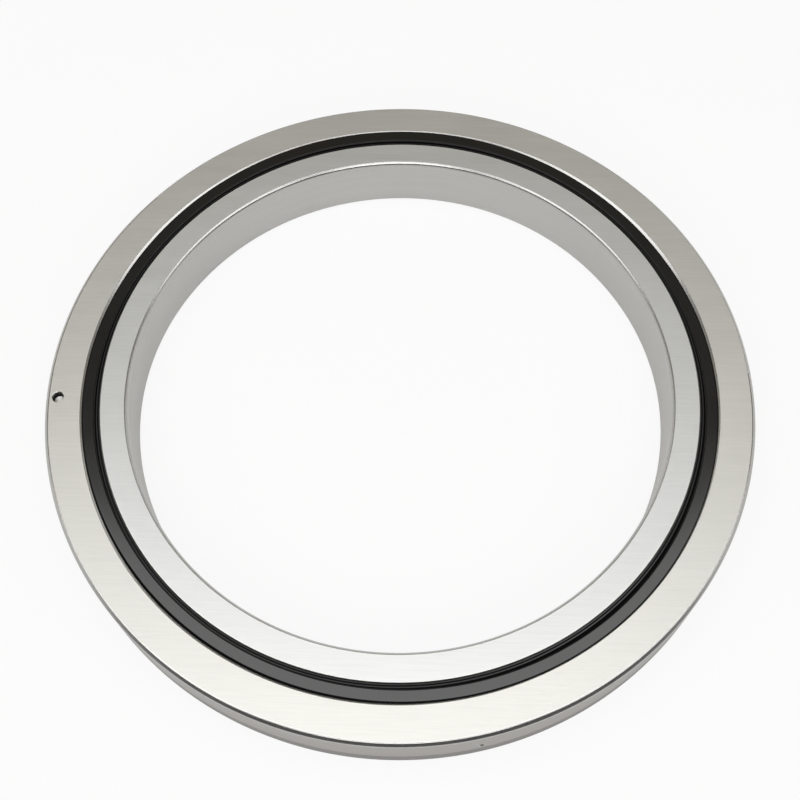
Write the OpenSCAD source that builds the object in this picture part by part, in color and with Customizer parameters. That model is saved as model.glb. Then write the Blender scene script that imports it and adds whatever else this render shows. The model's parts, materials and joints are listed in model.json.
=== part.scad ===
// Sealed crossed roller bearing with a one-piece outer ring.
// The axis of rotation is Z and the lower side faces lie on Z = 0.

/* [Boundary sizes] */
// Bore of the inner ring, where the shaft goes
bore_d = 200; // [150:1:220]
// Depth of the inner ring, from the bore to the circle through the middles of the rollers
inner_depth = 14; // [12:0.1:18]
// Depth of the outer ring, from that circle to the outside diameter that sits in the housing
outer_depth = 16; // [14:0.1:22]
// Width of both rings between their side faces
width = 25; // [24.5:0.5:32]

/* [Edges] */
// Chamfer between the outside diameter and the side faces
outer_chamfer = 1.2; // [0.4:0.1:2]
// Chamfer between the bore and the side faces
bore_chamfer = 1; // [0.4:0.1:2]
// Chamfer on the outer ring where the seal goes in
seat_chamfer = 1; // [0.4:0.1:1.2]
// Chamfer on the inner ring where the seal lip goes over it
track_chamfer = 0.3; // [0.1:0.1:0.6]

/* [Rollers] */
// Diameter of a roller
roller_d = 12; // [11:0.1:12.8]
// How much shorter a roller is than its diameter, so that its ends never rub
roller_short = 0.4; // [0.3:0.05:0.8]
// Chamfer on the ends of a roller
roller_chamfer = 0.6; // [0.3:0.1:1]

/* [Raceways] */
// Running clearance between a roller and each raceway
race_clearance = 0.1; // [0.05:0.01:0.15]
// Gap between the lands of the two rings
land_gap = 1.6; // [1:0.1:2.4]
// Width of the grinding relief at the bottom of each raceway
relief_w = 1.6; // [0.8:0.1:2.4]
// Depth of the grinding relief below the end of the raceway
relief_depth = 1; // [0.9:0.05:1.2]

/* [Spacers] */
// Clearance between a spacer and the raceways
spacer_clearance = 0.25; // [0.15:0.05:0.5]
// Clearance between a spacer and the rollers beside it
saddle_clearance = 0.15; // [0.1:0.05:0.3]
// Thickness that a spacer has at least between its two rollers
spacer_t = 2.6; // [2.4:0.1:6]
// Length of a spacer along the pitch circle
spacer_l = 8.4; // [6:0.1:9.6]
// How much is cut off each corner of a spacer's square section
spacer_corner = 1.3; // [1:0.1:2]

/* [Seals] */
// Depth of the seal's recess below the side faces
seat_depth = 3; // [2.9:0.1:3.4]
// Distance from the pitch circle out to the wall that holds the seal
seat_reach = 2.1; // [2:0.1:3]
// Distance from the pitch circle in to the track of the seal lip
track_reach = 3.95; // [3.6:0.05:4.4]
// How far the seal lies below the side faces
seal_recess = 0.6; // [0.3:0.1:0.7]
// Chamfer on the outer edge of the seal's flat band
seal_edge = 0.2; // [0.1:0.05:0.5]
// Clearance between the seal and its seat in the outer ring
seal_fit = 0.02; // [0:0.01:0.05]
// Gap between the seal and the shoulder of the inner ring
seal_gap = 0.4; // [0.3:0.05:0.6]
// Clearance between the seal lip and its track
lip_clearance = 0.1; // [0.05:0.01:0.2]
// Width of the snap bead that holds the seal
bead_w = 1; // [0.8:0.1:1.2]
// How far the snap bead reaches into the outer ring
bead_depth = 0.7; // [0.4:0.1:1]
// Width of the slope between the seal's flat band and its lips
slope_w = 0.6; // [0.4:0.1:0.8]
// Drop of that slope
slope_drop = 0.4; // [0.2:0.1:0.5]
// Width of each groove between the lips
lip_groove_w = 0.3; // [0.2:0.05:0.35]
// Depth of each groove between the lips
lip_groove_depth = 0.4; // [0.2:0.1:0.5]
// Width of the dust lip and of the main lip
lip_w = 0.55; // [0.4:0.05:0.7]
// Thickness of the seal under its lips
lip_t = 1.1; // [0.9:0.1:1.3]

/* [Filling plug and pin] */
// Diameter of the plug in the hole where the rollers go in
plug_d = 15.5; // [12.5:0.1:15.6]
// Where the plug is, counted about Z from +X
plug_angle = 182; // [0:1:359]
// Clearance around the plug
plug_fit = 0.02; // [0.01:0.01:0.05]
// Diameter of the pin that locks the plug
pin_d = 4; // [3:0.1:4.5]
// Wall between the pin and the relief of the raceway
pin_wall = 0.7; // [0.5:0.1:1.5]
// Clearance around the pin
pin_fit = 0.02; // [0.01:0.01:0.05]
// Depth of the pin's end below the upper side face
pin_recess = 2.6; // [1:0.1:4]
// Metal left under the pin hole
pin_floor = 2.5; // [1:0.1:3.5]
// Chamfer on the ends of the pin
pin_chamfer = 0.4; // [0.2:0.1:0.8]

/* [Oil holes] */
// Diameter of an oil hole
oil_hole_d = 2.2; // [1.5:0.1:3]
// Number of oil holes around the outer ring
oil_hole_count = 2; // [1:1:3]
// Where the first oil hole is, counted about Z from +X
oil_hole_angle = 281; // [270:1:300]
// Width of the countersink at the mouth of an oil hole
oil_countersink = 0.3; // [0.1:0.1:0.6]

/* [Hidden] */
$fn = 180;
bore_r = bore_d / 2;
pitch_r = bore_r + inner_depth;
outer_r = pitch_r + outer_depth;
half_w = width / 2;
roller_r = roller_d / 2;
roller_l = roller_d - roller_short;

// Rollers and spacers fill the pitch circle in pairs, because every second roller is crossed the other way.
roller_pair = 2 * (roller_d + spacer_t + 2 * saddle_clearance);
roller_count = 2 * floor(2 * PI * pitch_r / roller_pair);
roller_step = 360 / roller_count;

// The two raceways make a square tunnel that stands on its corner around the pitch circle.
tunnel_half = roller_r + race_clearance;
tunnel_corner = tunnel_half * sqrt(2);
inner_land_r = pitch_r - land_gap / 2;
outer_land_r = pitch_r + land_gap / 2;
land_z = tunnel_corner - land_gap / 2;
flank_reach = tunnel_corner - relief_w / 2;
relief_reach = flank_reach + relief_depth;

// Heights above the middle plane, where the seal's recess and the seal begin
seat_z = half_w - seat_depth;
seal_top_z = half_w - seal_recess;
seal_low_z = seat_z + seal_gap;
bead_z = (seat_z + half_w - seat_chamfer) / 2;
seat_r = pitch_r + seat_reach;
track_r = pitch_r - track_reach;

// Radii of the seal's lips, from the lip track outwards
lip_r = track_r + lip_clearance;
main_lip_r = lip_r + lip_w;
dust_lip_low_r = main_lip_r + lip_groove_w;
dust_lip_high_r = dust_lip_low_r + lip_w;
slope_low_r = dust_lip_high_r + lip_groove_w;
band_r = slope_low_r + slope_w;
lip_top_z = seal_top_z - slope_drop;
lip_groove_z = lip_top_z - lip_groove_depth;
lip_low_z = lip_top_z - lip_t;

pin_r = pitch_r + relief_reach + pin_wall + pin_d / 2;
spacer_half = tunnel_half - spacer_clearance;
spacer_reach = spacer_half * sqrt(2) - spacer_corner;
spacer_angle = spacer_l / pitch_r * 180 / PI;
past = 1;

function roller_name(i) = str("roller_", i < 10 ? "0" : "", i);
function mirrored(points) = [for (i = [len(points) - 1 : -1 : 0]) [points[i].x, -points[i].y]];

// The snap bead's section, or with a fit of 0 the groove that it sits in, from top to bottom
function bead(fit) = [
    [seat_r - fit, bead_z + bead_w / 2 - fit],
    [seat_r + bead_depth - fit, bead_z + bead_w / 4 - fit],
    [seat_r + bead_depth - fit, bead_z - bead_w / 4 + fit],
    [seat_r - fit, bead_z - bead_w / 2 + fit]
];

// The upper half of each ring's section, from the fitted diameter round to the raceway's relief
outer_half = concat(
    [
        [outer_r, half_w - outer_chamfer],
        [outer_r - outer_chamfer, half_w],
        [seat_r + seat_chamfer, half_w],
        [seat_r, half_w - seat_chamfer]
    ],
    bead(0),
    [
        [seat_r, seat_z],
        [outer_land_r, seat_z],
        [outer_land_r, land_z],
        [pitch_r + flank_reach, relief_w / 2],
        [pitch_r + relief_reach, relief_w / 2]
    ]
);

inner_half = [
    [bore_r, half_w - bore_chamfer],
    [bore_r + bore_chamfer, half_w],
    [track_r - track_chamfer, half_w],
    [track_r, half_w - track_chamfer],
    [track_r, seat_z],
    [inner_land_r, seat_z],
    [inner_land_r, land_z],
    [pitch_r - flank_reach, relief_w / 2],
    [pitch_r - relief_reach, relief_w / 2]
];

module ring(half) {
    translate([0, 0, half_w])
        rotate_extrude()
            polygon(concat(half, mirrored(half)));
}

// A cylinder along a radius at the middle plane, from the raceway tunnel out past the outer ring
module radial_hole(angle, d) {
    rotate([0, 0, angle])
        translate([pitch_r, 0, half_w])
            rotate([0, 90, 0])
                cylinder(d = d, h = outer_r - pitch_r + past);
}

module oil_hole(angle) {
    sink_h = oil_countersink + past;
    radial_hole(angle, oil_hole_d);
    rotate([0, 0, angle])
        translate([outer_r - oil_countersink, 0, half_w])
            rotate([0, 90, 0])
                cylinder(d1 = oil_hole_d, d2 = oil_hole_d + 2 * sink_h, h = sink_h);
}

module pin_hole() {
    rotate([0, 0, plug_angle])
        translate([pin_r, 0, pin_floor])
            cylinder(d = pin_d + 2 * pin_fit, h = width);
}

module outer_ring() {
    color("#bdbbb2")
        difference() {
            ring(outer_half);
            radial_hole(plug_angle, plug_d);
            pin_hole();
            for (i = [0 : oil_hole_count - 1])
                oil_hole(oil_hole_angle + i * 360 / oil_hole_count);
        }
}

module inner_ring() {
    color("#b5b3ab")
        ring(inner_half);
}

// The plug is cut from the ring's own section, so its inner end carries on the raceway.
module filling_plug() {
    color("#a9a79f")
        difference() {
            intersection() {
                ring(outer_half);
                radial_hole(plug_angle, plug_d - 2 * plug_fit);
            }
            pin_hole();
        }
}

module plug_pin() {
    pin_top = width - pin_recess;
    color("#d6d4cc")
        rotate([0, 0, plug_angle])
            translate([pin_r, 0, 0])
                rotate_extrude()
                    polygon([
                        [0, pin_floor],
                        [pin_d / 2 - pin_chamfer, pin_floor],
                        [pin_d / 2, pin_floor + pin_chamfer],
                        [pin_d / 2, pin_top - pin_chamfer],
                        [pin_d / 2 - pin_chamfer, pin_top],
                        [0, pin_top]
                    ]);
}

// The seal's section: a flat band on the outer ring, then a dust lip and a main lip towards the track
module seal_section() {
    foot_r = outer_land_r + seal_fit;
    wall_r = seat_r - seal_fit;
    polygon(concat(
        [
            [foot_r, seal_low_z],
            [band_r, seal_low_z],
            [slope_low_r, lip_low_z],
            [main_lip_r, lip_low_z],
            [lip_r, lip_groove_z],
            [lip_r, lip_top_z],
            [main_lip_r, lip_top_z],
            [main_lip_r, lip_groove_z],
            [dust_lip_low_r, lip_groove_z],
            [dust_lip_low_r, lip_top_z],
            [dust_lip_high_r, lip_top_z],
            [dust_lip_high_r, lip_groove_z],
            [slope_low_r, lip_groove_z],
            [slope_low_r, lip_top_z],
            [band_r, seal_top_z],
            [wall_r - seal_edge, seal_top_z],
            [wall_r, seal_top_z - seal_edge]
        ],
        bead(seal_fit),
        [
            [wall_r, seat_z],
            [foot_r, seat_z]
        ]
    ));
}

module upper_seal() {
    color("#26262a")
        translate([0, 0, half_w])
            rotate_extrude()
                seal_section();
}

module lower_seal() {
    color("#26262a")
        translate([0, 0, half_w])
            mirror([0, 0, 1])
                rotate_extrude()
                    seal_section();
}

// Puts a shape made along Z at a roller's place, leaning out for odd rollers and in for even ones
module at_roller(i) {
    lean = i % 2 == 1 ? 45 : 135;
    rotate([0, 0, (i - 1) * roller_step])
        translate([pitch_r, 0, half_w])
            rotate([0, lean, 0])
                children();
}

module roller(i) {
    half_l = roller_l / 2;
    color("#cfd0d2")
        at_roller(i)
            rotate_extrude()
                polygon([
                    [0, -half_l],
                    [roller_r - roller_chamfer, -half_l],
                    [roller_r, -half_l + roller_chamfer],
                    [roller_r, half_l - roller_chamfer],
                    [roller_r - roller_chamfer, half_l],
                    [0, half_l]
                ]);
}

// A short arc of the tunnel's square section with cut corners, hollowed by the rollers on both sides
module spacer(i) {
    difference() {
        rotate([0, 0, (i - 0.5) * roller_step - spacer_angle / 2])
            translate([0, 0, half_w])
                rotate_extrude(angle = spacer_angle)
                    translate([pitch_r, 0])
                        intersection() {
                            rotate(45)
                                square(2 * spacer_half, center = true);
                            square(2 * spacer_reach, center = true);
                        }
        for (j = [i, i + 1])
            at_roller(j)
                cylinder(r = roller_r + saddle_clearance, h = roller_d + 2 * past, center = true);
    }
}

module spacers() {
    color("#d8cfb4")
        for (i = [1 : roller_count])
            spacer(i);
}

outer_ring();
inner_ring();
upper_seal();
lower_seal();
filling_plug();
plug_pin();
spacers();
for (i = [1 : roller_count])
    roller(i);
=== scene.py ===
import json
import math

import bpy
from mathutils import Matrix, Vector


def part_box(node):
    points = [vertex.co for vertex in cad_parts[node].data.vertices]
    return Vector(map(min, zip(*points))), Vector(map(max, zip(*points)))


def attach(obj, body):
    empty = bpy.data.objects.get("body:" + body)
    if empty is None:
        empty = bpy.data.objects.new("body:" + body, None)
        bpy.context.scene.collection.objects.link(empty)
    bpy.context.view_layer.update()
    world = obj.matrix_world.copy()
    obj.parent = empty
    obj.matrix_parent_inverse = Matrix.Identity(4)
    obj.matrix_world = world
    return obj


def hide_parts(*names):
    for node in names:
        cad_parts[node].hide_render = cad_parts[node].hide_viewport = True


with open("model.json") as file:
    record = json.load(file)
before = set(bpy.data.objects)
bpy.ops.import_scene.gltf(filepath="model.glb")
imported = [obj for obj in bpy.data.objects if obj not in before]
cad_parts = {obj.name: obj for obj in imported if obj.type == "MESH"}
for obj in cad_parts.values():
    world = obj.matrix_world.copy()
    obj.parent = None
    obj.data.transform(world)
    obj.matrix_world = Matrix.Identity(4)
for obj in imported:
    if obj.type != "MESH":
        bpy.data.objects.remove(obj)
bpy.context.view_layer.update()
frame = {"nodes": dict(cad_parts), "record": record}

bl_info = {
    "name": "Crossed roller bearing",
    "version": (1, 0, 0),
    "blender": (4, 5, 0),
    "location": "View3D > Sidebar > Bearing",
    "description": "Models the rings and seals of a crossed roller bearing and gives every piece its finish",
    "category": "Object",
}

# Points that lie closer than this are one point
MERGE = 1e-6

# How finely the pieces are made
SEED_SIZE = 0.001
RING_STEPS = 288
ROUND_SEGMENTS = 5
SOFT_SEGMENTS = 2
SOFT_ANGLE = math.radians(20)
SMOOTH_ANGLE = math.radians(40)
NORMAL_WEIGHT = 50
HOLE_SIDES = 64
PLUG_OVERSHOOT = 0.001

# Which faces are the end of a drill, flat, upright, or on a diameter
END_NORMAL = 0.9
FLAT_NORMAL = 0.9995
UPRIGHT_NORMAL = 0.02
ON_RADIUS = 0.0001

# Waves of the seal: the place of each push in degrees, and its shares at the band's outer and inner edge
SEAL_PUSHES = (
    (25, 0.12, 0),
    (72, 0.92, 0.1),
    (90, 0.25, 0.2),
    (108, 0.92, 0.1),
    (132, 0.33, 0),
    (185, 0.67, 0.4),
    (228, -0.35, -0.4),
    (297, 0.83, 0.95),
    (320, 0.58, 0.75),
    (343, 0.75, 0.35),
)
PUSH_GRIP = math.cos(math.radians(1.3))
PUSH_REACH = 0.085
PUSH_LIFT = 0.65

# Gloss of the parts of the seal, where the rim's near-zero gloss makes the rebate and the lip grooves black
# as painted shade, and the stretch of its lips that a trace of oil makes smoother
RUBBER_GLOSS = {"band": 0.7, "lip": 0.45, "rim": 0.04}
OIL_PLACE = (0.068, -0.088, 0.025)
OIL_REACH = 0.05
OIL_CORE = 1.3
OIL_SHINE = 0.32

# How dark the line round the outside is, how dark the painted shade in the strip below it is, and how dense
# the rings on the pin's end
LINE_DEPTH = 0.75
SHADE_STRIP_DEPTH = 0.52
PIN_RINGS = 22000

# The floor, and where it turns to plain white
FLOOR_SIDES = 128
FLOOR_RADIUS = 6
FLOOR_DROP = 0.00005
FADE_START = 0.25
FADE_RATE = 2

# The room, by directions: where its dark front, its white lower part and its warmer back begin, and how fast
FRONT_START, FRONT_RATE = -0.1, 3
FRONT_TOP, FRONT_TOP_RATE = 0.5, 5
FRONT_DEPTH = 0.85
LOW_TOP, LOW_RATE = 0.2, 20
BACK_RATE = 1.5

# The light overhead, and the lights in front: name, degrees round the bearing, share of the level, width
KEY_PLACE = (-0.06, -0.085, 0.82)
KEY_SIZE = (1.0, 0.66)
FILLS = (
    ("fill_left", -66, 1.3, 0.95),
    ("fill_front", 0, 1.9, 0.66),
    ("fill_right", 66, 1.3, 0.95),
)
FILL_PLACE = (0, -0.75, 0.56)
FILL_LEAN = math.radians(54)
FILL_HEIGHT = 0.3

# The camera
SENSOR_WIDTH = 36
CLIP = (0.01, 50)

# Sizes that are taken from the frame
MOUNTS = {mount["name"]: mount for mount in frame["record"]["mounts"]}
BORE_RADIUS = MOUNTS["shaft_bore"]["dims"]["r_mm"] / 1000
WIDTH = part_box("outer_ring")[1].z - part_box("outer_ring")[0].z
PIN_LOW, PIN_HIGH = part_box("plug_pin")
PIN_AXIS = (PIN_LOW + PIN_HIGH) / 2


def length(name, description, default):
    """A size in metres that a user can change."""
    return bpy.props.FloatProperty(
        name=name,
        description=description,
        default=default,
        min=0,
        precision=5,
        subtype="DISTANCE",
        unit="LENGTH",
    )


def angle(name, description, degrees):
    """An angle that a user can change."""
    return bpy.props.FloatProperty(
        name=name, description=description, default=math.radians(degrees), subtype="ANGLE", unit="ROTATION"
    )


def number(name, description, default):
    """A plain number that a user can change."""
    return bpy.props.FloatProperty(name=name, description=description, default=default, min=0)


def colour(name, description, default):
    """A colour that a user can change."""
    return bpy.props.FloatVectorProperty(
        name=name, description=description, default=default, size=3, min=0, max=1, subtype="COLOR"
    )


class BearingSizes(bpy.types.PropertyGroup):
    """Sizes of the rings and seals."""

    bore_radius: length("Bore radius", "Radius of the inner ring's bore", BORE_RADIUS)
    outer_radius: length("Outer radius", "Outside radius of the outer ring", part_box("outer_ring")[1].x)
    width: length("Width", "Width of both rings", WIDTH)
    pitch_radius: length("Pitch radius", "Radius of the circle through the middles of the rollers", 0.114)
    outer_round: length("Outside rounding", "Rounding of both edges of the outside chamfer", 0.0003)
    bore_round: length("Bore rounding", "Rounding between the bore and its chamfers", 0.0008)
    outer_chamfer: length(
        "Outside chamfer", "Chamfer between the outside diameter and the side faces", 0.0012
    )
    bore_chamfer: length("Bore chamfer", "Chamfer between the bore and the side faces", 0.001)
    seat_chamfer: length("Seat chamfer", "Chamfer where the seal goes into the outer ring", 0.001)
    track_chamfer: length("Track chamfer", "Chamfer where the seal lip goes over the inner ring", 0.0002)
    edge_radius: length("Edge radius", "How much the ground edges of the rings are broken", 0.00012)
    tunnel_half: length("Raceway reach", "Distance from the pitch circle to each raceway", 0.0061)
    land_gap: length("Land gap", "Gap between the lands of the two rings", 0.0016)
    relief_width: length("Relief width", "Width of the grinding relief in each raceway", 0.0016)
    relief_depth: length("Relief depth", "Depth of the grinding relief in each raceway", 0.001)
    seat_depth: length("Seat depth", "Depth of the seal's recess below the side faces", 0.003)
    seat_radius: length("Seat radius", "Radius of the wall that holds the seal", 0.1161)
    track_radius: length("Track radius", "Radius of the seal lip's track on the inner ring", 0.11005)
    bead_width: length("Bead width", "Width of the snap bead that holds the seal", 0.001)
    bead_depth: length("Bead depth", "How far the snap bead reaches into the outer ring", 0.0007)
    seal_recess: length("Seal recess", "How far the seal lies below the side faces", 0.0006)
    rim_width: length("Rim width", "Width of the rebate at the outer edge of the seal's flat band", 0.00033)
    rim_drop: length("Rim drop", "Depth of the rebate at the outer edge of the seal's flat band", 0.00015)
    seal_fit: length("Seal fit", "Clearance between the seal and its seat", 0.00002)
    seal_gap: length("Seal gap", "Gap between the seal and the inner ring's shoulder", 0.0004)
    lip_clearance: length("Lip clearance", "Clearance between the seal lip and its track", 0.0001)
    lip_width: length("Lip width", "Width of the main lip and of the dust lip", 0.00045)
    lip_groove_width: length("Lip groove width", "Width of the groove between the lips", 0.000425)
    foot_groove_width: length(
        "Foot groove width", "Width of the groove between the dust lip and the ledge", 0.000325
    )
    lip_groove_depth: length("Lip groove depth", "Depth of both grooves", 0.0005)
    lip_thickness: length("Lip thickness", "Thickness of the seal under its lips", 0.0011)
    ledge_width: length("Ledge width", "Width of the ledge at the foot of the slope", 0.0002)
    slope_width: length("Slope width", "Width of the slope between the band and the lips", 0.0002)
    slope_drop: length("Slope drop", "Drop of the slope between the band and the lips", 0.0004)
    seal_edge_radius: length("Seal edge radius", "Rounding of the moulded edges of the seal", 0.00006)
    seal_wave: length("Seal wave", "How far the band of the rubber strays from a true circle", 0.0006)
    plug_radius: length("Plug hole radius", "Radius of the hole where the rollers go in", 0.00775)
    pin_hole_radius: length("Pin hole radius", "Radius of the hole of the locking pin", 0.00202)
    pin_rim: length("Pin hole rim", "Width of the broken edge round the pin hole", 0.00018)
    oil_radius: length("Oil hole radius", "Radius of an oil hole", 0.0011)
    oil_rim: length("Oil hole rim", "Width of the countersink round an oil hole", 0.0003)
    oil_angle: angle("Oil hole angle", "Where the first oil hole is, counted from +X", 281)


class BearingFinishes(bpy.types.PropertyGroup):
    """Colours and surface finish of the pieces."""

    steel: colour("Outer ring steel", "Colour of the outer ring's ground side faces", (0.7, 0.695, 0.668))
    inner_steel: colour(
        "Inner ring steel", "Colour of the inner ring's ground side faces", (0.707, 0.712, 0.708)
    )
    # The outside steel is painted shade: a darker copy of the ground steel, for the dim floor that it mirrors
    outside: colour("Outside steel", "Colour of the ground outside diameter", (0.385, 0.363, 0.335))
    edge: colour("Edge steel", "Colour of the turned chamfers and recesses", (0.56, 0.555, 0.54))
    bore: colour("Bore steel", "Colour of the ground bore", (0.573, 0.566, 0.545))
    face_roughness: number("Face roughness", "Roughness of the surface-ground side faces", 0.4)
    face_haze: number(
        "Face haze", "Roughness of the wide haze that the grinding leaves on the side faces", 0.8
    )
    haze_share: number("Haze share", "Share of the haze in the gloss of the side faces", 0.45)
    round_roughness: number("Round roughness", "Roughness of the bore and the outside diameter", 0.32)
    edge_roughness: number("Edge roughness", "Roughness of the turned chamfers", 0.23)
    lay_angle: angle("Lay angle", "Direction of the grinding lines on the side faces", -3)
    line_height: length("Line height", "Height of the fine line round the outside diameter", 0.008)
    line_width: length("Line width", "Width of the fine line round the outside diameter", 0.0006)
    # Near black: painted shade inside the drilled holes
    hole: colour("Drilled steel", "Colour of the walls of the drilled holes", (0.014, 0.0136, 0.0127))
    rubber: colour("Seal rubber", "Colour of the seal's rubber", (0.0045, 0.0045, 0.0047))
    rubber_roughness: number("Band roughness", "Roughness of the seal's flat band", 0.19)
    lip_roughness: number("Lip roughness", "Roughness of the seal's lips, slope and rim", 0.5)
    roller: colour("Roller steel", "Colour of the superfinished rollers", (0.72, 0.72, 0.73))
    pin: colour("Pin steel", "Colour of the locking pin", (0.95, 0.94, 0.92))
    spacer: colour("Spacer plastic", "Colour of the moulded spacers", (0.6, 0.51, 0.34))


class BearingStage(bpy.types.PropertyGroup):
    """Camera, light and floor."""

    focal_length: number("Focal length", "Lens of the camera in millimetres", 52.11)
    camera_height: length("Camera height", "Height of the camera above the floor", 0.40455)
    camera_back: length("Camera distance", "How far the camera stands in front of the axis", 0.1964)
    camera_side: length("Camera side step", "How far the camera stands to the right of the axis", 0.0005)
    camera_pitch: angle("Camera pitch", "How far the camera looks below the horizon", 60.939)
    camera_roll: angle("Camera roll", "How far the camera is turned about its own axis", -1.0546)
    camera_drop: number("Camera drop", "How far the frame is shifted down, in widths of the picture", 0.0682)
    floor: colour("Floor", "Colour of the floor", (0.74, 0.74, 0.74))
    floor_white: number("Floor white", "Share of plain white in the floor, the rest takes the shadow", 0.88)
    floor_gleam: number("Floor gleam", "Share of plain white that the steel sees in the floor", 0.2)
    room: colour("Room", "Colour of the dim room round the light", (0.22, 0.219, 0.215))
    room_back: colour("Back of the room", "Colour of the room behind the bearing", (0.225, 0.207, 0.156))
    key_level: number("Key level", "Brightness of the soft light overhead", 2.2)
    fill_level: number("Fill level", "Brightness of the soft lights in front", 1.4)


class Shade:
    """A value in a material, with which sums are written as plain expressions."""

    def __init__(self, graph, socket):
        self.graph = graph
        self.socket = socket

    def math(self, operation, *others, clamp=False):
        """What a Math node makes of the value."""
        return self.graph.add(
            "ShaderNodeMath", {"operation": operation, "use_clamp": clamp}, dict(enumerate((self, *others)))
        )

    def __add__(self, other):
        return self.math("ADD", other)

    __radd__ = __add__

    def __sub__(self, other):
        return self.math("SUBTRACT", other)

    def __rsub__(self, other):
        return self.graph.add("ShaderNodeMath", {"operation": "SUBTRACT"}, {0: other, 1: self})

    def __mul__(self, other):
        return self.math("MULTIPLY", other)

    __rmul__ = __mul__

    def __truediv__(self, other):
        return self.math("DIVIDE", other)

    def __abs__(self):
        return self.math("ABSOLUTE")

    def clamp(self):
        """The value, kept between 0 and 1."""
        return self.math("ADD", 0, clamp=True)

    def either(self, other):
        """The larger of two values."""
        return self.math("MAXIMUM", other)


class Graph:
    """The nodes of one material or of the world."""

    def __init__(self, tree):
        self.tree = tree
        tree.nodes.clear()

    def add(self, kind, settings=None, inputs=None, output=0):
        """Adds a node, sets its settings, then its sockets' values or links, and gives one of its outputs."""
        node = self.tree.nodes.new(kind)
        for key, value in (settings or {}).items():
            setattr(node, key, value)
        for key, value in (inputs or {}).items():
            socket = node.inputs[key] if isinstance(key, int) else self.named(node.inputs, key)
            if isinstance(value, Shade):
                self.tree.links.new(value.socket, socket)
            elif socket.type == "RGBA" and len(value) == 3:
                socket.default_value = (*value, 1)
            else:
                socket.default_value = value
        sockets = node.outputs
        if not sockets:
            return None
        return Shade(self, sockets[output] if isinstance(output, int) else self.named(sockets, output))

    @staticmethod
    def named(sockets, key):
        """The socket with an identifier or a name."""
        for socket in sockets:
            if key in (socket.identifier, socket.name):
                return socket
        raise KeyError(key)

    def place(self):
        """Where a point is on the piece, in metres."""
        return self.add("ShaderNodeTexCoord", output="Object")

    def split(self, vector):
        """The x, y and z of a vector."""
        parts = self.add("ShaderNodeSeparateXYZ", inputs={"Vector": vector})
        return [Shade(self, socket) for socket in parts.socket.node.outputs]

    def distance(self, vector, point):
        """How far a vector is from a fixed point."""
        return self.add("ShaderNodeVectorMath", {"operation": "DISTANCE"}, {0: vector, 1: point}, "Value")

    def ray(self, kind):
        """1 for one kind of ray and 0 for the others."""
        return self.add("ShaderNodeLightPath", output="Is " + kind + " Ray")

    def grain(self, vector, scale, turn=0.0, detail=2.0, shift=0.0):
        """Noise stretched by a scale along each axis, in waves per metre."""
        laid = self.add(
            "ShaderNodeMapping",
            {"vector_type": "TEXTURE"},
            {
                "Vector": vector,
                "Location": (shift, shift, shift),
                "Rotation": (0, 0, turn),
                "Scale": tuple(1 / s for s in scale),
            },
        )
        return self.add(
            "ShaderNodeTexNoise", {"noise_dimensions": "3D"}, {"Vector": laid, "Scale": 1, "Detail": detail}
        )

    def tinted(self, tint, light):
        """A colour times a value."""
        return self.add(
            "ShaderNodeMix",
            {"data_type": "RGBA", "blend_type": "MULTIPLY"},
            {"Factor_Float": 1.0, "A_Color": tint, "B_Color": light},
            "Result_Color",
        )

    def blend(self, factor, first, second):
        """One colour where the factor is 0 and another where it is 1."""
        return self.add(
            "ShaderNodeMix",
            {"data_type": "RGBA"},
            {"Factor_Float": factor, "A_Color": first, "B_Color": second},
            "Result_Color",
        )

    def bump(self, height, distance, strength):
        """The surface's normal, tilted by a fine relief."""
        return self.add(
            "ShaderNodeBump", inputs={"Height": height, "Distance": distance, "Strength": strength}
        )

    def shader(self, **sockets):
        """One Principled shader, from its sockets."""
        inputs = {key.replace("_", " "): value for key, value in sockets.items()}
        return self.add("ShaderNodeBsdfPrincipled", inputs=inputs)

    def mixed(self, factor, first, second):
        """One shader where the factor is 0 and another where it is 1."""
        return self.add("ShaderNodeMixShader", inputs={0: factor, 1: first, 2: second})

    def close(self, shader, kind="Material"):
        """Ends a material or the world with a shader."""
        self.add("ShaderNodeOutput" + kind, inputs={"Surface": shader})

    def surface(self, **sockets):
        """Ends a material that has one Principled shader."""
        self.close(self.shader(**sockets))


def new_material(name):
    """A new material and its empty graph."""
    material = bpy.data.materials.new(name)
    material.use_nodes = True
    return material, Graph(material.node_tree)


def ground_face_steel(looks, ring):
    """Side faces, surface-ground with straight parallel lines that run across both rings."""
    material, graph = new_material("ground_" + ring + "_face_steel")
    place = graph.place()
    bands = graph.grain(place, (5, 190, 1), turn=looks.lay_angle)
    lines = graph.grain(place, (45, 1500, 1), turn=looks.lay_angle, detail=3)
    hair = graph.grain(place, (90, 6000, 1), turn=looks.lay_angle, shift=3.1)
    cloud = graph.grain(place, (22, 22, 1), detail=3, shift=1.7)
    light = 0.85 + 0.06 * bands + 0.14 * lines + 0.06 * hair + 0.04 * cloud
    skin = {
        "Base_Color": graph.tinted(looks.inner_steel if ring == "inner" else looks.steel, light),
        "Metallic": 1.0,
        "Normal": graph.bump(hair + 0.4 * lines, 3e-5, 1.0),
    }
    ripple = 0.06 * lines + 0.05 * bands + 0.03 * cloud - 0.06
    shine = graph.shader(Roughness=looks.face_roughness + ripple, **skin)
    haze = graph.shader(Roughness=looks.face_haze + ripple, **skin)
    graph.close(graph.mixed(looks.haze_share, shine, haze))
    return material


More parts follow.
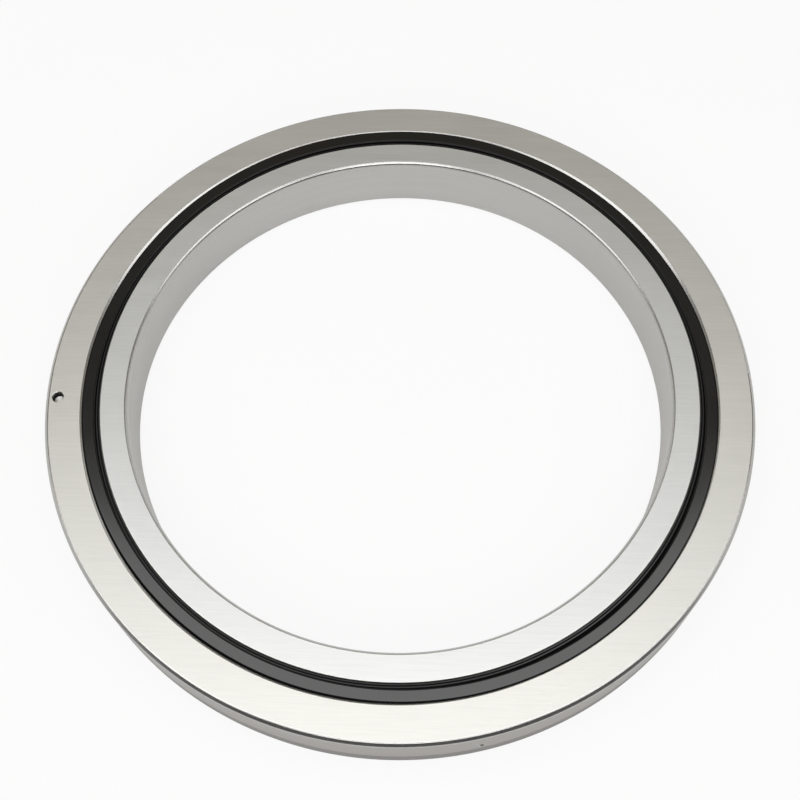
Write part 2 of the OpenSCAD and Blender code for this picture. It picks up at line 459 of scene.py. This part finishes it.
def ground_round_steel(looks, line):
    """Bore or outside diameter, ground round. The outside has a line, and below it a strip darkened as
    painted shade.
    """
    material, graph = new_material("ground_outside_steel" if line else "ground_bore_steel")
    place = graph.place()
    bands = graph.grain(place, (6, 6, 420))
    lines = graph.grain(place, (14, 14, 4200), detail=3)
    cloud = graph.grain(place, (28, 28, 40), detail=3, shift=2.3)
    light = 0.85 + 0.08 * bands + 0.12 * lines + 0.07 * cloud
    if line:
        z = graph.split(place)[2]
        mark = (1 - abs(z - looks.line_height) / looks.line_width).clamp()
        # Painted shade: the outside is darker below the line
        shade_strip = ((looks.line_height - z) / looks.line_width).clamp()
        light = light * (1 - LINE_DEPTH * mark) * (1 - SHADE_STRIP_DEPTH * shade_strip)
    graph.surface(
        Base_Color=graph.tinted(looks.outside if line else looks.bore, light),
        Metallic=1.0,
        Roughness=looks.round_roughness - 0.06 + 0.07 * lines + 0.05 * bands,
        Normal=graph.bump(lines, 1.2e-5, 1.0),
    )
    return material


def drilled_steel_painted_shade(looks):
    """Walls of the drilled holes, dull, and near black as painted shade."""
    material, graph = new_material("drilled_steel_painted_shade")
    place = graph.place()
    lines = graph.grain(place, (900, 900, 5200))
    cloud = graph.grain(place, (300, 300, 300), detail=3)
    graph.surface(
        Base_Color=graph.tinted(looks.hole, 0.5 + 0.5 * lines + 0.5 * cloud),
        Metallic=0.6,
        Roughness=0.45 + 0.15 * cloud,
        Normal=graph.bump(lines, 1e-5, 0.8),
    )
    return material


def turned_edge_steel(looks):
    """Chamfers, recesses and raceways, turned and hardened."""
    material, graph = new_material("turned_edge_steel")
    place = graph.place()
    lines = graph.grain(place, (20, 20, 5200))
    cloud = graph.grain(place, (35, 35, 35), detail=3)
    graph.surface(
        Base_Color=graph.tinted(looks.edge, 0.86 + 0.1 * lines + 0.14 * cloud),
        Metallic=1.0,
        Roughness=looks.edge_roughness - 0.05 + 0.06 * lines + 0.06 * cloud,
        Normal=graph.bump(lines, 1.5e-6, 0.4),
    )
    return material


def moulded_rubber(looks, part):
    """Moulded black rubber with a faint grain: a glossy band, duller lips and a matt rim, whose low gloss is
    painted shade in the rebate and the grooves.
    """
    material, graph = new_material(part + "_rubber")
    place = graph.place()
    cloud = graph.grain(place, (60, 60, 60), detail=3)
    grain = graph.grain(place, (3200, 3200, 3200), shift=0.7)
    mean = looks.rubber_roughness if part == "band" else looks.lip_roughness
    roughness = mean - 0.06 + 0.1 * cloud + 0.04 * grain
    if part == "lip":
        away = graph.distance(place, OIL_PLACE)
        roughness = roughness - OIL_SHINE * (OIL_CORE - away / OIL_REACH).clamp()
    graph.surface(
        Base_Color=graph.tinted(looks.rubber, 0.6 + 0.8 * cloud),
        Roughness=roughness,
        Specular_IOR_Level=RUBBER_GLOSS[part],
        Normal=graph.bump(grain, 3e-6, 0.4),
    )
    return material


def superfinished_steel(looks):
    """Superfinished rollers."""
    material, graph = new_material("superfinished_steel")
    place = graph.place()
    cloud = graph.grain(place, (90, 90, 90), detail=3)
    fine = graph.grain(place, (4000, 4000, 4000))
    graph.surface(
        Base_Color=graph.tinted(looks.roller, 0.9 + 0.14 * cloud),
        Metallic=1.0,
        Roughness=0.1 + 0.08 * cloud + 0.03 * fine,
        Normal=graph.bump(fine, 1e-6, 0.3),
    )
    return material


def ground_pin_steel(looks):
    """Ground locking pin with a turned end."""
    material, graph = new_material("ground_pin_steel")
    place = graph.place()
    across = graph.distance(place, (PIN_AXIS.x, PIN_AXIS.y, PIN_HIGH.z))
    rings = (across * PIN_RINGS).math("SINE")
    cloud = graph.grain(place, (900, 900, 900))
    graph.surface(
        Base_Color=graph.tinted(looks.pin, 0.9 + 0.16 * cloud),
        Metallic=1.0,
        Roughness=0.3 + 0.12 * cloud,
        Normal=graph.bump(rings, 8e-6, 1.0),
    )
    return material


def moulded_nylon(looks):
    """Moulded nylon spacers."""
    material, graph = new_material("moulded_nylon")
    place = graph.place()
    cloud = graph.grain(place, (120, 120, 120), detail=3)
    grain = graph.grain(place, (2600, 2600, 2600))
    graph.surface(
        Base_Color=graph.tinted(looks.spacer, 0.86 + 0.26 * cloud),
        Roughness=0.48 + 0.12 * grain,
        Normal=graph.bump(grain, 5e-6, 0.4),
    )
    return material


def finish(name, make, *settings):
    """A finish that several pieces share, made when it is first asked for."""
    return bpy.data.materials.get(name) or make(bpy.context.scene.bearing_finishes, *settings)


def fresh_start():
    """Leaves edit mode and deselects everything."""
    if bpy.context.object and bpy.context.object.mode != "OBJECT":
        bpy.ops.object.mode_set(mode="OBJECT")
    bpy.ops.object.select_all(action="DESELECT")


def activate(piece):
    """Makes a piece the active one, and the only one that is selected."""
    fresh_start()
    piece.select_set(True)
    bpy.context.view_layer.objects.active = piece


def pick_nothing(kind):
    """Leaves nothing of the active piece's mesh selected, and one kind of element to select next."""
    bpy.ops.object.mode_set(mode="EDIT")
    bpy.ops.mesh.select_mode(type=kind)
    bpy.ops.mesh.select_all(action="DESELECT")
    bpy.ops.object.mode_set(mode="OBJECT")


def pick_faces(piece, test):
    """Goes into edit mode with only those faces of the active piece selected that a test picks."""
    pick_nothing("FACE")
    for face in piece.data.polygons:
        face.select = test(face)
    bpy.ops.object.mode_set(mode="EDIT")


def pick_points(piece, indices):
    """Goes into edit mode with only those points of the active piece selected."""
    pick_nothing("VERT")
    for index in indices:
        piece.data.vertices[index].select = True
    bpy.ops.object.mode_set(mode="EDIT")


def apply_modifier(piece, kind, **settings):
    """Adds a modifier to the active piece, sets it and applies it."""
    bpy.ops.object.modifier_add(type=kind)
    modifier = piece.modifiers[-1]
    for key, value in settings.items():
        setattr(modifier, key, value)
    bpy.ops.object.modifier_apply(modifier=modifier.name)


def turned(name, section):
    """Pulls one point round a closed section of (radius, height) and spins the section about Z."""
    fresh_start()
    at = section[0]
    bpy.ops.mesh.primitive_plane_add(size=SEED_SIZE, location=(at[0], 0, at[1]))
    piece = bpy.context.object
    piece.name = piece.data.name = name
    bpy.ops.object.mode_set(mode="EDIT")
    bpy.ops.mesh.select_mode(type="VERT")
    bpy.ops.mesh.select_all(action="SELECT")
    bpy.ops.mesh.merge(type="CENTER")
    for corner in (*section[1:], section[0]):
        step = (corner[0] - at[0], 0, corner[1] - at[1])
        bpy.ops.mesh.extrude_region_move(TRANSFORM_OT_translate={"value": step})
        at = corner
    bpy.ops.mesh.select_all(action="SELECT")
    bpy.ops.mesh.remove_doubles(threshold=MERGE)
    bpy.ops.mesh.spin(steps=RING_STEPS, angle=2 * math.pi, center=(0, 0, 0), axis=(0, 0, 1))
    bpy.ops.mesh.select_all(action="SELECT")
    bpy.ops.mesh.remove_doubles(threshold=MERGE)
    bpy.ops.mesh.normals_make_consistent(inside=False)
    bpy.ops.object.mode_set(mode="OBJECT")
    bpy.ops.object.transform_apply(location=True, rotation=True, scale=True)
    return piece


def round_edges(piece, radius, height, middle, offset):
    """Rounds the two circular edges of a radius that lie at a height above and below the middle plane."""
    for side in (1, -1):
        circle = [
            v.index
            for v in piece.data.vertices
            if abs(v.co.xy.length - radius) < MERGE and abs((v.co.z - middle) * side - height) < MERGE
        ]
        pick_points(piece, circle)
        bpy.ops.mesh.select_mode(type="EDGE")
        bpy.ops.mesh.bevel(offset=offset, segments=ROUND_SEGMENTS, affect="EDGES")
        bpy.ops.object.mode_set(mode="OBJECT")


def soften(piece, radius):
    """Rounds the edges of the section a little and keeps the wide faces flat."""
    apply_modifier(
        piece,
        "BEVEL",
        width=radius,
        segments=SOFT_SEGMENTS,
        limit_method="ANGLE",
        angle_limit=SOFT_ANGLE,
        use_clamp_overlap=False,
        offset_type="OFFSET",
    )


def smooth(piece):
    """Shades the rounds smooth and lets the wide faces lead."""
    bpy.ops.object.shade_smooth_by_angle(angle=SMOOTH_ANGLE)
    apply_modifier(piece, "WEIGHTED_NORMAL", mode="FACE_AREA", weight=NORMAL_WEIGHT, keep_sharp=True)


def drill(piece, foot, axis, depth, radius, rim):
    """Cuts a round hole from its foot along an axis to the surface, and breaks the edge of its mouth."""
    fresh_start()
    bpy.ops.mesh.primitive_cylinder_add(
        vertices=HOLE_SIDES,
        radius=radius,
        depth=depth - rim,
        location=foot + axis * (depth - rim) / 2,
        rotation=axis.to_track_quat("Z", "Y").to_euler(),
    )
    cutter = bpy.context.object
    if rim:
        pick_faces(cutter, lambda face: face.normal.z > END_NORMAL)
        for low, high in ((radius, radius + rim), (radius + rim, radius + 2 * rim)):
            spread = high / low
            bpy.ops.mesh.extrude_region_move(TRANSFORM_OT_translate={"value": axis * rim})
            bpy.ops.transform.resize(value=(spread, spread, spread))
    activate(piece)
    apply_modifier(piece, "BOOLEAN", operation="DIFFERENCE", solver="EXACT", object=cutter)
    bpy.data.objects.remove(cutter)


def paint(piece, base, *parts):
    """Gives a piece its base finish, and other finishes to the faces that a test picks."""
    piece.data.materials.clear()
    for material in (base, *(part[0] for part in parts)):
        piece.data.materials.append(material)
    activate(piece)
    for index, (_, test) in enumerate(((base, lambda face: True), *parts)):
        pick_faces(piece, test)
        piece.active_material_index = index
        bpy.ops.object.material_slot_assign()
        bpy.ops.object.mode_set(mode="OBJECT")
    bpy.ops.object.select_all(action="DESELECT")


def stands_for(piece, node, body):
    """Puts a piece in the place of a CAD node."""
    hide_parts(node)
    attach(piece, body)


def both_sides(half, middle):
    """A whole section from its upper half, given as radius and height above the middle plane."""
    return [(r, middle + z) for r, z in half] + [(r, middle - z) for r, z in reversed(half)]


def bead_section(s, fit):
    """Snap bead of the seal, or with no fit the groove that it sits in."""
    half = s.width / 2
    z = (half - s.seat_depth + half - s.seat_chamfer) / 2
    wall = s.seat_radius - fit
    return [
        (wall, z + s.bead_width / 2 - fit),
        (wall + s.bead_depth, z + s.bead_width / 4 - fit),
        (wall + s.bead_depth, z - s.bead_width / 4 + fit),
        (wall, z - s.bead_width / 2 + fit),
    ]


def raceway_section(s, side):
    """Half of the raceway's section with its land, for the outer ring (side 1) or the inner one (side -1)."""
    land = s.pitch_radius + side * s.land_gap / 2
    corner = s.tunnel_half * math.sqrt(2)
    flank = corner - s.relief_width / 2
    return [
        (land, s.width / 2 - s.seat_depth),
        (land, corner - s.land_gap / 2),
        (s.pitch_radius + side * flank, s.relief_width / 2),
        (s.pitch_radius + side * flank + side * s.relief_depth, s.relief_width / 2),
    ]


def is_side_face(width):
    """A test for the faces in the two ground side planes."""

    def test(face):
        off = min(abs(face.center.z), abs(face.center.z - width))
        return abs(face.normal.z) > FLAT_NORMAL and off < 2 * MERGE

    return test


def is_round(radius):
    """A test for the faces of the bore or of the outside diameter."""

    def test(face):
        off = abs(math.hypot(face.center.x, face.center.y) - radius)
        return abs(face.normal.z) < UPRIGHT_NORMAL and off < ON_RADIUS

    return test


def is_in_hole(holes):
    """A test for the walls and floors of drilled holes, without the broken edges of their mouths."""

    def test(face):
        for foot, axis, depth, radius, rim in holes:
            along = (face.center - foot).dot(axis)
            aside = (face.center - foot - axis * along).length
            if aside < radius + MERGE and -MERGE < along < depth - rim - MERGE:
                return True
        return False

    return test


class BEARING_OT_outer_ring(bpy.types.Operator):
    """Turn the outer ring, drill its holes and grind it"""

    bl_idname = "bearing.outer_ring"
    bl_label = "Outer Ring"

    def execute(self, context):
        s = context.scene.bearing_sizes
        half = s.width / 2
        shoulder = s.outer_radius - s.outer_chamfer
        section = [
            (s.outer_radius, half - s.outer_chamfer),
            (shoulder, half),
            (s.seat_radius + s.seat_chamfer, half),
            (s.seat_radius, half - s.seat_chamfer),
            *bead_section(s, 0),
            (s.seat_radius, half - s.seat_depth),
            *raceway_section(s, 1),
        ]
        ring = turned("outer_ring_ground", both_sides(section, half))
        for edge_radius, edge_z in ((shoulder, half), (s.outer_radius, half - s.outer_chamfer)):
            round_edges(ring, edge_radius, edge_z, half, s.outer_round)
        soften(ring, s.edge_radius)
        middle = Vector((0, 0, half))
        reach = s.outer_radius - s.pitch_radius
        plug_way = Vector((PIN_AXIS.x, PIN_AXIS.y, 0)).normalized()
        drill(ring, middle + plug_way * s.pitch_radius, plug_way, reach + PLUG_OVERSHOOT, s.plug_radius, 0)
        up = Vector((0, 0, 1))
        pin_foot = Vector((PIN_AXIS.x, PIN_AXIS.y, PIN_LOW.z))
        holes = [(pin_foot, up, s.width - PIN_LOW.z, s.pin_hole_radius, s.pin_rim)]
        for turn in (s.oil_angle, s.oil_angle + math.pi):
            way = Vector((math.cos(turn), math.sin(turn), 0))
            holes.append((middle + way * s.pitch_radius, way, reach, s.oil_radius, s.oil_rim))
        for hole in holes:
            drill(ring, *hole)
        smooth(ring)
        paint(
            ring,
            finish("turned_edge_steel", turned_edge_steel),
            (finish("ground_outer_face_steel", ground_face_steel, "outer"), is_side_face(s.width)),
            (finish("ground_outside_steel", ground_round_steel, True), is_round(s.outer_radius)),
            (finish("drilled_steel_painted_shade", drilled_steel_painted_shade), is_in_hole(holes)),
        )
        stands_for(ring, "outer_ring", "outer")
        return {"FINISHED"}


class BEARING_OT_inner_ring(bpy.types.Operator):
    """Turn the inner ring and grind it"""

    bl_idname = "bearing.inner_ring"
    bl_label = "Inner Ring"

    def execute(self, context):
        s = context.scene.bearing_sizes
        half = s.width / 2
        section = [
            (s.bore_radius, half - s.bore_chamfer),
            (s.bore_radius + s.bore_chamfer, half),
            (s.track_radius - s.track_chamfer, half),
            (s.track_radius, half - s.track_chamfer),
            (s.track_radius, half - s.seat_depth),
            *raceway_section(s, -1),
        ]
        ring = turned("inner_ring_ground", both_sides(section, half))
        round_edges(ring, s.bore_radius, half - s.bore_chamfer, half, s.bore_round)
        soften(ring, s.edge_radius)
        smooth(ring)
        paint(
            ring,
            finish("turned_edge_steel", turned_edge_steel),
            (finish("ground_inner_face_steel", ground_face_steel, "inner"), is_side_face(s.width)),
            (finish("ground_bore_steel", ground_round_steel, False), is_round(s.bore_radius)),
        )
        stands_for(ring, "inner_ring", "inner")
        return {"FINISHED"}


class BEARING_OT_seals(bpy.types.Operator):
    """Mould the lip seal and put one on each side"""

    bl_idname = "bearing.seals"
    bl_label = "Lip Seals"

    def execute(self, context):
        s = context.scene.bearing_sizes
        half = s.width / 2
        seat_z = half - s.seat_depth
        low_z = seat_z + s.seal_gap
        top_z = half - s.seal_recess
        foot = s.pitch_radius + s.land_gap / 2 + s.seal_fit
        wall = s.seat_radius - s.seal_fit
        rim = wall - s.rim_width
        lip = s.track_radius + s.lip_clearance
        main = lip + s.lip_width
        dust_low = main + s.lip_groove_width
        dust_high = dust_low + s.lip_width
        ledge = dust_high + s.foot_groove_width
        slope = ledge + s.ledge_width
        band = slope + s.slope_width
        lip_z = top_z - s.slope_drop
        groove_z = lip_z - s.lip_groove_depth
        under_z = lip_z - s.lip_thickness
        wall_z = lip_z - 2 * s.seal_edge_radius
        section = [
            (foot, low_z),
            (band, low_z),
            (slope, under_z),
            (main, under_z),
            (lip, groove_z),
            (lip, lip_z),
            (main, lip_z),
            (main, groove_z),
            (dust_low, groove_z),
            (dust_low, lip_z),
            (dust_high, lip_z),
            (dust_high, groove_z),
            (ledge, groove_z),
            (ledge, lip_z),
            (slope, lip_z),
            (band, top_z),
            (rim, top_z),
            (rim, top_z - s.rim_drop),
            (wall, top_z - s.rim_drop),
            *bead_section(s, s.seal_fit),
            (wall, seat_z),
            (foot, seat_z),
        ]
        upper = turned("upper_seal_moulded", [(r, half + z) for r, z in section])
        soften(upper, s.seal_edge_radius)

        # The rebate at the band's edge and the grooves by the lips get the matt rubber: their black is
        # painted shade
        def is_matt_shade(face):
            r, z = face.center.xy.length, face.center.z - half
            by_lips = main - MERGE < r < ledge + MERGE
            return r > rim - MERGE or (by_lips and groove_z - MERGE < z < wall_z)

        paint(
            upper,
            finish("lip_rubber", moulded_rubber, "lip"),
            (finish("band_rubber", moulded_rubber, "band"), lambda face: face.center.xy.length > band),
            (finish("rim_rubber", moulded_rubber, "rim"), is_matt_shade),
        )
        self.wave_band(upper, s.seal_wave, half + wall_z, ledge, (band + rim) / 2)
        activate(upper)
        smooth(upper)
        bpy.ops.object.duplicate()
        lower = context.object
        lower.name = lower.data.name = "lower_seal_moulded"
        bpy.ops.transform.rotate(value=math.pi, orient_axis="X", center_override=(0, 0, half))
        bpy.ops.object.transform_apply(location=True, rotation=True, scale=True)
        stands_for(upper, "upper_seal", "outer")
        stands_for(lower, "lower_seal", "outer")
        return {"FINISHED"}

    @staticmethod
    def wave_band(seal, wave, low, inside, middle):
        """Pushes the edges of the flat band out and in, because rubber never lies in a true circle."""
        points = seal.data.vertices
        band = [
            (point.index, point.co.xy.length)
            for point in points
            if point.co.z > low and point.co.xy.length > inside - MERGE
        ]
        for outer in (True, False):
            edge = [index for index, radius in band if (radius > middle) == outer]
            pick_points(seal, edge)
            bpy.ops.mesh.hide(unselected=True)
            for degrees, outer_share, inner_share in SEAL_PUSHES:
                turn = math.radians(degrees)
                way = Vector((math.cos(turn), math.sin(turn), 0))
                near = [i for i in edge if points[i].co.xy.normalized().dot(way.xy) > PUSH_GRIP]
                pick_points(seal, near)
                lift = Vector((0, 0, PUSH_LIFT * max(outer_share, 0)))
                push = way * (outer_share if outer else inner_share) + lift
                bpy.ops.transform.translate(
                    value=push * wave,
                    use_proportional_edit=True,
                    proportional_edit_falloff="SMOOTH",
                    proportional_size=PUSH_REACH,
                )
            bpy.ops.mesh.reveal(select=False)
        bpy.ops.object.mode_set(mode="OBJECT")


class BEARING_OT_rolling_set(bpy.types.Operator):
    """Finish the crossed rollers and the spacers between them"""

    bl_idname = "bearing.rolling_set"
    bl_label = "Rollers and Spacers"

    def execute(self, context):
        for name, node in frame["nodes"].items():
            if name.startswith("roller_"):
                paint(node, finish("superfinished_steel", superfinished_steel))
        paint(frame["nodes"]["spacers"], finish("moulded_nylon", moulded_nylon))
        return {"FINISHED"}


class BEARING_OT_filling_plug(bpy.types.Operator):
    """Finish the plug of the filling hole and the pin that locks it"""

    bl_idname = "bearing.filling_plug"
    bl_label = "Filling Plug and Pin"

    def execute(self, context):
        # The plug takes the outside's steel, with its painted shade
        paint(frame["nodes"]["filling_plug"], finish("ground_outside_steel", ground_round_steel, True))
        paint(frame["nodes"]["plug_pin"], finish("ground_pin_steel", ground_pin_steel))
        return {"FINISHED"}


class BEARING_OT_stage(bpy.types.Operator):
    """Set up the floor, the soft lights, the room and the camera"""

    bl_idname = "bearing.stage"
    bl_label = "Floor, Light and Camera"

    def execute(self, context):
        stage = context.scene.bearing_stage
        self.floor(stage)
        self.room(context.scene, stage)
        self.softbox("key_light", KEY_PLACE, (0, 0, 0), KEY_SIZE, stage.key_level)
        for name, degrees, share, width in FILLS:
            way = Matrix.Rotation(math.radians(degrees), 4, "Z")
            lean = way @ Matrix.Rotation(FILL_LEAN, 4, "X")
            place = way @ Vector(FILL_PLACE)
            self.softbox(name, place, lean.to_euler(), (width, FILL_HEIGHT), stage.fill_level * share)
        self.camera(context.scene, stage)
        context.scene.view_settings.view_transform = "Standard"
        return {"FINISHED"}

    @staticmethod
    def floor(stage):
        """A floor that takes the shadow, and turns to plain white away from the bearing."""
        fresh_start()
        bpy.ops.mesh.primitive_circle_add(
            vertices=FLOOR_SIDES, radius=FLOOR_RADIUS, fill_type="NGON", location=(0, 0, -FLOOR_DROP)
        )
        floor = bpy.context.object
        floor.name = floor.data.name = "floor"
        bpy.ops.object.transform_apply(location=True)
        material, graph = new_material("floor_white")
        away = graph.add("ShaderNodeVectorMath", {"operation": "LENGTH"}, {0: graph.place()}, "Value")
        fade = ((away - FADE_START) * FADE_RATE).clamp()
        share = stage.floor_white + (1 - stage.floor_white) * fade
        sight = graph.ray("Camera").either(graph.ray("Transmission")) * share
        sight = sight.either(graph.ray("Glossy") * stage.floor_gleam)
        matt = graph.add("ShaderNodeBsdfDiffuse", inputs={"Color": stage.floor})
        white = graph.add("ShaderNodeEmission", inputs={"Color": (1, 1, 1), "Strength": 1.0})
        graph.close(graph.mixed(sight, matt, white))
        floor.data.materials.append(material)

    @staticmethod
    def room(scene, stage):
        """A dim room with a darker front and a warmer back, which the camera sees as plain white."""
        scene.world = bpy.data.worlds.new("soft_room")
        scene.world.use_nodes = True
        graph = Graph(scene.world.node_tree)
        _, y, z = graph.split(graph.add("ShaderNodeTexCoord", output="Generated"))
        front = ((FRONT_START - y) * FRONT_RATE).clamp() * ((FRONT_TOP - z) * FRONT_TOP_RATE).clamp()
        low = ((LOW_TOP - z) * LOW_RATE).clamp()
        sight = graph.ray("Glossy") * low * (1 - front)
        sight = sight.either(graph.ray("Camera")).either(graph.ray("Transmission"))
        walls = graph.blend((y * BACK_RATE).clamp(), stage.room, stage.room_back)
        dim = graph.tinted(walls, 1 - FRONT_DEPTH * front)
        back = graph.add("ShaderNodeBackground", inputs={"Color": dim, "Strength": 1.0})
        white = graph.add("ShaderNodeBackground", inputs={"Color": (1, 1, 1), "Strength": 1.0})
        graph.close(graph.mixed(sight, back, white), "World")

    @staticmethod
    def softbox(name, place, turn, size, level):
        """A soft rectangular light whose surface has the given brightness, where 1 is white."""
        lamp = bpy.data.lights.new(name, "AREA")
        lamp.shape = "RECTANGLE"
        lamp.size, lamp.size_y = size
        lamp.energy = level * math.pi * size[0] * size[1]
        light = bpy.data.objects.new(name, lamp)
        light.location = place
        light.rotation_euler = turn
        bpy.context.scene.collection.objects.link(light)

    @staticmethod
    def camera(scene, stage):
        """The camera, above the near side of the bearing."""
        lens = bpy.data.cameras.new("camera")
        lens.lens = stage.focal_length
        lens.sensor_width = SENSOR_WIDTH
        lens.shift_y = -stage.camera_drop
        lens.clip_start, lens.clip_end = CLIP
        camera = bpy.data.objects.new("camera", lens)
        camera.matrix_world = (
            Matrix.Translation((stage.camera_side, -stage.camera_back, stage.camera_height))
            @ Matrix.Rotation(math.pi / 2 - stage.camera_pitch, 4, "X")
            @ Matrix.Rotation(stage.camera_roll, 4, "Z")
        )
        scene.collection.objects.link(camera)
        scene.camera = camera


class BEARING_PT_panel(bpy.types.Panel):
    """Makes the bearing's pieces and sets their sizes and finishes"""

    bl_idname = "BEARING_PT_panel"
    bl_label = "Crossed Roller Bearing"
    bl_space_type = "VIEW_3D"
    bl_region_type = "UI"
    bl_category = "Bearing"

    def draw(self, context):
        for operator in OPERATORS:
            self.layout.operator(operator.bl_idname)
        scene = context.scene
        for group in (scene.bearing_sizes, scene.bearing_finishes, scene.bearing_stage):
            box = self.layout.box()
            for name in group.__annotations__:
                box.prop(group, name)


OPERATORS = (
    BEARING_OT_outer_ring,
    BEARING_OT_inner_ring,
    BEARING_OT_seals,
    BEARING_OT_rolling_set,
    BEARING_OT_filling_plug,
    BEARING_OT_stage,
)
CLASSES = (BearingSizes, BearingFinishes, BearingStage, *OPERATORS, BEARING_PT_panel)


def register():
    for cls in CLASSES:
        bpy.utils.register_class(cls)
    bpy.types.Scene.bearing_sizes = bpy.props.PointerProperty(type=BearingSizes)
    bpy.types.Scene.bearing_finishes = bpy.props.PointerProperty(type=BearingFinishes)
    bpy.types.Scene.bearing_stage = bpy.props.PointerProperty(type=BearingStage)


def unregister():
    del bpy.types.Scene.bearing_stage
    del bpy.types.Scene.bearing_finishes
    del bpy.types.Scene.bearing_sizes
    for cls in reversed(CLASSES):
        bpy.utils.unregister_class(cls)


def main():
    register()
    bpy.ops.bearing.stage()
    bpy.ops.bearing.outer_ring()
    bpy.ops.bearing.inner_ring()
    bpy.ops.bearing.seals()
    bpy.ops.bearing.rolling_set()
    bpy.ops.bearing.filling_plug()
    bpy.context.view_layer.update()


if __name__ == "__main__":
    main()
